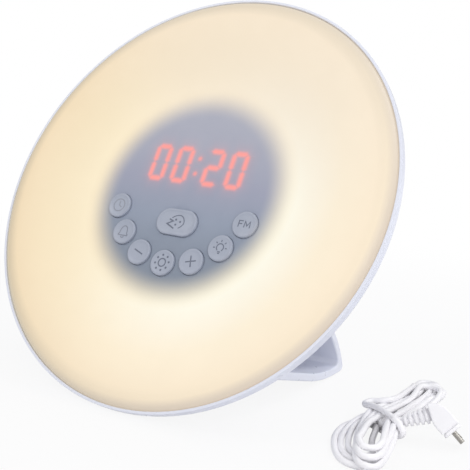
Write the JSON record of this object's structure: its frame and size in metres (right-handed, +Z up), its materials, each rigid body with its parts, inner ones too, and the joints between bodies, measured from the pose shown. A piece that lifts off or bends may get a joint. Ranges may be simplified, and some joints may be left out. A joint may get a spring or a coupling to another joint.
{
  "type": "sunrise alarm clock",
  "caption": "Round bedside wake-up light: glowing dished front with a red digital clock and eight buttons, white back shell, broad looped stand, tied micro-USB supply lead.",
  "frame": {"origin": "on the table, under the middle of the clock's box without its supply lead", "axes": "+Z up, the face looks to -Y and leans back 30 degrees, +X to the viewer's right"},
  "size_m": [0.226, 0.1082, 0.149],
  "materials": {
    "white_shell": "satin white moulded ABS",
    "diffuser": "milky translucent polycarbonate, lit from behind",
    "white_inner": "matt white moulding",
    "white_board": "white solder mask",
    "led": "warm white LED packages",
    "green_board": "green solder mask",
    "dark_parts": "black moulded components",
    "steel": "zinc-plated steel",
    "display_grey": "grey display housing",
    "digit_red": "lit red light pipes",
    "button_grey": "satin light grey, dark grey printed icon",
    "cone_paper": "coated paper cone",
    "cell": "plain dark green sleeve",
    "foot": "grey rubber",
    "wire": "red wire insulation",
    "cord_white": "white PVC jacket"
  },
  "bodies": {
    "clock": {"back_shell": "white_shell", "diffuser": "diffuser", "centre_shield": "white_inner", "reflector": "white_inner", "led_board": "white_board", "leds": "led", "led_screws": "steel", "main_board": "green_board", "board_components": "dark_parts", "board_screws": "steel", "display_module": "display_grey", "display_segments": "digit_red", "tact_switches": "dark_parts", "case_screws": "steel", "speaker_frame": "dark_parts", "speaker_cone": "cone_paper", "speaker_magnet": "steel", "battery_cells": "cell", "battery_contacts": "steel", "inlet_board": "green_board", "usb_inlet": "steel", "inlet_screws": "steel", "stand": "white_shell", "stand_screws": "steel", "foot_pad": "foot", "wiring": "wire", "cord_hank": "cord_white", "cord_lead": "cord_white", "cord_tail": "cord_white", "strain_relief": "cord_white", "micro_plug_body": "cord_white", "micro_plug_shell": "steel", "usb_a_relief": "cord_white", "usb_a_body": "cord_white", "usb_a_shell": "steel"},
    "time_key": {"time_button": "button_grey"},
    "alarm_key": {"alarm_button": "button_grey"},
    "minus_key": {"minus_button": "button_grey"},
    "brightness_key": {"brightness_button": "button_grey"},
    "plus_key": {"plus_button": "button_grey"},
    "light_key": {"light_button": "button_grey"},
    "radio_key": {"radio_button": "button_grey"},
    "snooze_key": {"snooze_button": "button_grey"},
    "cover": {"battery_cover": "white_shell"}
  },
  "joints": [
    {"name": "time_press", "type": "slide", "parent": "clock", "child": "time_key", "axis": [0, 0.866, -0.5], "range_m": [0, 0.0008], "stiffness_N_per_m": 1000},
    {"name": "alarm_press", "type": "slide", "parent": "clock", "child": "alarm_key", "axis": [0, 0.866, -0.5], "range_m": [0, 0.0008], "stiffness_N_per_m": 1000},
    {"name": "minus_press", "type": "slide", "parent": "clock", "child": "minus_key", "axis": [0, 0.866, -0.5], "range_m": [0, 0.0008], "stiffness_N_per_m": 1000},
    {"name": "brightness_press", "type": "slide", "parent": "clock", "child": "brightness_key", "axis": [0, 0.866, -0.5], "range_m": [0, 0.0008], "stiffness_N_per_m": 1000},
    {"name": "plus_press", "type": "slide", "parent": "clock", "child": "plus_key", "axis": [0, 0.866, -0.5], "range_m": [0, 0.0008], "stiffness_N_per_m": 1000},
    {"name": "light_press", "type": "slide", "parent": "clock", "child": "light_key", "axis": [0, 0.866, -0.5], "range_m": [0, 0.0008], "stiffness_N_per_m": 1000},
    {"name": "radio_press", "type": "slide", "parent": "clock", "child": "radio_key", "axis": [0, 0.866, -0.5], "range_m": [0, 0.0008], "stiffness_N_per_m": 1000},
    {"name": "snooze_press", "type": "slide", "parent": "clock", "child": "snooze_key", "axis": [0, 0.866, -0.5], "range_m": [0, 0.0008], "stiffness_N_per_m": 1000},
    {"name": "cover_off", "type": "slide", "parent": "clock", "child": "cover", "axis": [0, 0.866, -0.5], "range_m": [0, 0.012]}
  ]
}
